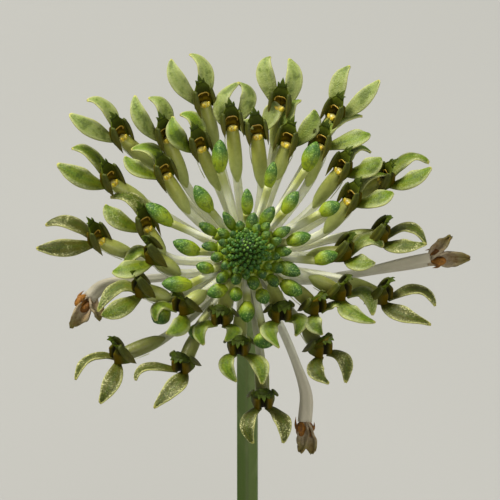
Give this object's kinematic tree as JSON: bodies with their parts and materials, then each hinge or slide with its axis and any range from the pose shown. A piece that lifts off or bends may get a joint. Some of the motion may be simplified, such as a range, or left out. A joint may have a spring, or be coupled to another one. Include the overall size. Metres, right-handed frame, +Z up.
{
  "type": "potted malaxis excavata orchid",
  "caption": "Potted orchid with two pleated leaves and an arching stem that bears a round head of small green flowers.",
  "frame": {"origin": "centre of the pot's flat base, where it stands on the floor", "axes": "+Z up along the pot and the stem's foot; the flower head leans toward -Y, and the two leaves reach toward -X and +X"},
  "size_m": [0.1694, 0.0976, 0.2781],
  "materials": {
    "terracotta": "matte",
    "soil": "matte",
    "leaf": "satin",
    "stem": "satin",
    "flower": "satin",
    "bud": "satin"
  },
  "bodies": {
    "root": {"pot": "terracotta", "soil": "soil", "pseudobulb": "stem", "leaf_left": "leaf", "leaf_right": "leaf", "flower_stem": "stem", "flower_head": "flower", "bud_crown": "bud"}
  },
  "joints": []
}
